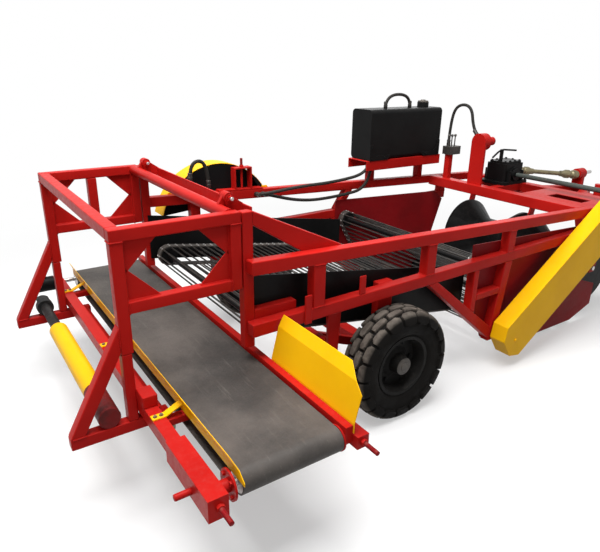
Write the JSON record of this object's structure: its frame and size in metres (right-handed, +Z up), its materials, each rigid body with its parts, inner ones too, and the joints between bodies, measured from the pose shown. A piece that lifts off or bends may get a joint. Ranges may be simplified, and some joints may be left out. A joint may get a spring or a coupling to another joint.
{
  "type": "potato harvester",
  "caption": "Trailed potato harvester: toothed share and rod-chain webs in a welded tube frame, chain drive, oil tank and a rear cross conveyor on a hinged gantry.",
  "frame": {"origin": "middle of the overall footprint at ground level", "axes": "+X forward to the hitch, +Y to the left side, +Z up"},
  "size_m": [5.7589, 2.9401, 1.912],
  "materials": {
    "red_paint": "gloss spray paint on welded tube",
    "dark_red_paint": "worn gloss paint on sheet steel",
    "yellow_paint": "gloss paint on sheet steel",
    "black_paint": "satin black paint",
    "grey_green_paint": "dull grey-green paint",
    "bright_steel": "machined steel",
    "rod_steel": "oiled rod steel between rubber edge belts",
    "zinc_plate": "yellow zinc plate",
    "belt_rubber": "dusty smooth conveyor rubber",
    "hose_rubber": "black hydraulic hose",
    "tyre_rubber": "dusty lug tyre"
  },
  "bodies": {
    "main_frame": {"side_rails": "red_paint", "frame_posts": "red_paint", "frame_uprights": "red_paint", "frame_braces": "red_paint", "front_beams": "red_paint", "rear_top_beam": "red_paint", "pivot_pins": "bright_steel", "gearbox_bearers": "red_paint", "axle_beam": "red_paint", "digging_web": "rod_steel", "rear_web": "rod_steel", "web_rollers": "black_paint", "share_plates": "dark_red_paint", "digging_share": "bright_steel", "web_cheeks": "black_paint", "ridge_arms": "red_paint", "ridge_axle": "bright_steel", "web_adjuster": "red_paint", "gearbox": "black_paint", "cross_shaft": "grey_green_paint", "shaft_bearings": "red_paint", "chain_case": "yellow_paint", "drive_hood": "yellow_paint", "hood_cheek": "black_paint", "hoses": "hose_rubber", "joint_shaft": "zinc_plate", "input_shaft": "bright_steel", "oil_tank": "black_paint", "tank_cradle": "red_paint", "hydraulic_stands": "red_paint", "oil_pump": "black_paint", "valve_block": "zinc_plate", "drawbar_beams": "red_paint", "hitch_head": "red_paint", "jack_sleeve": "red_paint"},
    "conveyor_frame": {"gantry_posts": "red_paint", "gantry_rails": "red_paint", "gantry_gussets": "red_paint", "gantry_cross_beams": "red_paint", "gantry_pivot_tube": "red_paint", "gantry_legs": "red_paint", "gantry_feet": "red_paint", "conveyor_belt": "belt_rubber", "belt_rollers": "bright_steel", "conveyor_rails": "red_paint", "conveyor_ties": "red_paint", "conveyor_guards": "yellow_paint", "belt_tensioners": "red_paint", "belt_motor": "black_paint", "stowed_shaft": "yellow_paint", "stowed_yokes": "black_paint"},
    "wheel_right": {"rim_right": "black_paint", "tyre_right": "tyre_rubber"},
    "wheel_left": {"rim_left": "black_paint", "tyre_left": "tyre_rubber"},
    "ridge_roller_right": {"ridge_roller_right": "black_paint"},
    "ridge_roller_left": {"ridge_roller_left": "black_paint"},
    "jack_leg": {"jack_leg": "bright_steel"}
  },
  "joints": [
    {"name": "wheel_right_spin", "type": "hinge", "parent": "main_frame", "child": "wheel_right", "pos_m": [-0.9305, -0.67015, 0.375], "axis": [0, 1, 0], "continuous": true},
    {"name": "wheel_left_spin", "type": "hinge", "parent": "main_frame", "child": "wheel_left", "pos_m": [-0.9305, 1.18985, 0.375], "axis": [0, 1, 0], "continuous": true},
    {"name": "ridge_roller_right_spin", "type": "hinge", "parent": "main_frame", "child": "ridge_roller_right", "pos_m": [1.6595, -0.11515, 0.455], "axis": [0, 1, 0], "continuous": true},
    {"name": "ridge_roller_left_spin", "type": "hinge", "parent": "main_frame", "child": "ridge_roller_left", "pos_m": [1.6595, 0.63485, 0.455], "axis": [0, 1, 0], "continuous": true},
    {"name": "conveyor_lift", "type": "hinge", "parent": "main_frame", "child": "conveyor_frame", "pos_m": [-1.9355, 0.25985, 1.505], "axis": [0, 1, 0], "range_deg": [0, 45]},
    {"name": "jack_slide", "type": "slide", "parent": "main_frame", "child": "jack_leg", "axis": [0, 0, 1], "range_m": [0, 0.3]}
  ]
}
